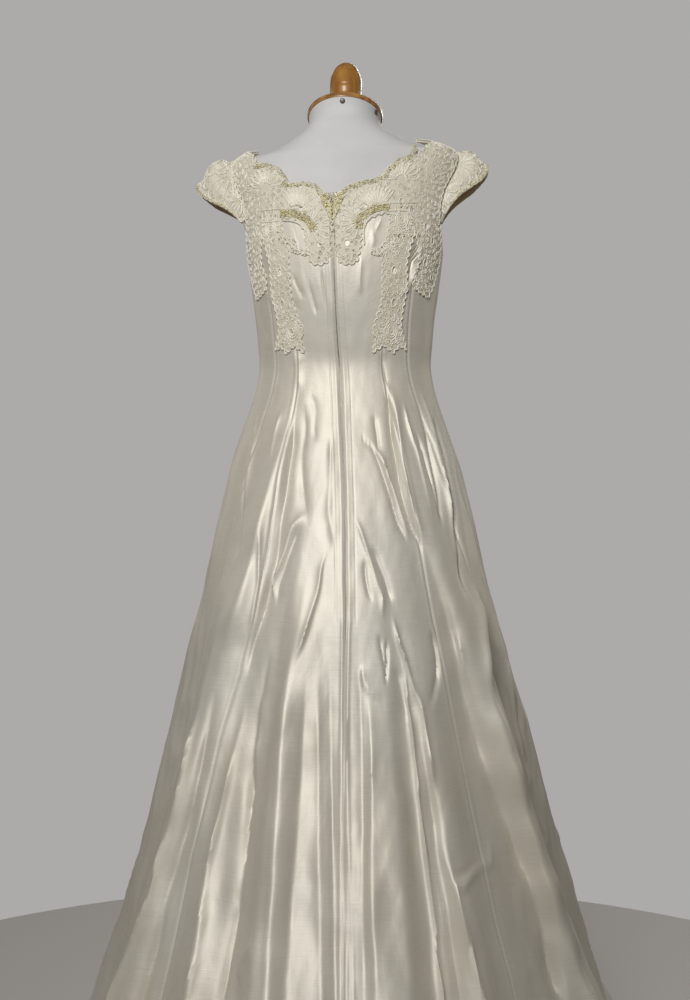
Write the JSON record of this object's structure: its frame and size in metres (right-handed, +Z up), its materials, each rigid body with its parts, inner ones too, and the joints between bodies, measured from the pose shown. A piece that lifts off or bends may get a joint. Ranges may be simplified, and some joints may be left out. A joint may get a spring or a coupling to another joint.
{
  "type": "wedding dress on a dress form",
  "caption": "Full-length princess-line gown with cap sleeves, beaded lace yoke and back zip, on a limbless dress form with a turned neck finial and a round stand.",
  "frame": {"origin": "centre of the underside of the stand's base, on the pole's axis", "axes": "+Z up, the wearer's front faces -Y and the back +Y, +X is the wearer's left"},
  "size_m": [0.8821, 0.9454, 1.5589],
  "materials": {
    "silk": "slubbed silk with a satin sheen",
    "lace": "corded and beaded lace",
    "form_cover": "plain grey jersey, matt",
    "wood": "glossy honey varnish",
    "steel": "dull steel"
  },
  "bodies": {
    "root": {"back_left": "silk", "back_right": "silk", "back_princess_left": "silk", "back_princess_right": "silk", "side_back_left": "silk", "side_back_right": "silk", "side_front_left": "silk", "side_front_right": "silk", "centre_front": "silk", "cap_sleeve_left": "silk", "cap_sleeve_right": "silk", "lace_back_left": "lace", "lace_back_right": "lace", "lace_front": "lace", "lace_sleeve_left": "lace", "lace_sleeve_right": "lace", "zip": "steel", "form_torso": "form_cover", "form_neck_cap": "wood", "form_finial": "wood", "form_pin_1": "steel", "form_pin_2": "steel", "stand_pole": "steel", "stand_base": "wood"}
  },
  "joints": []
}
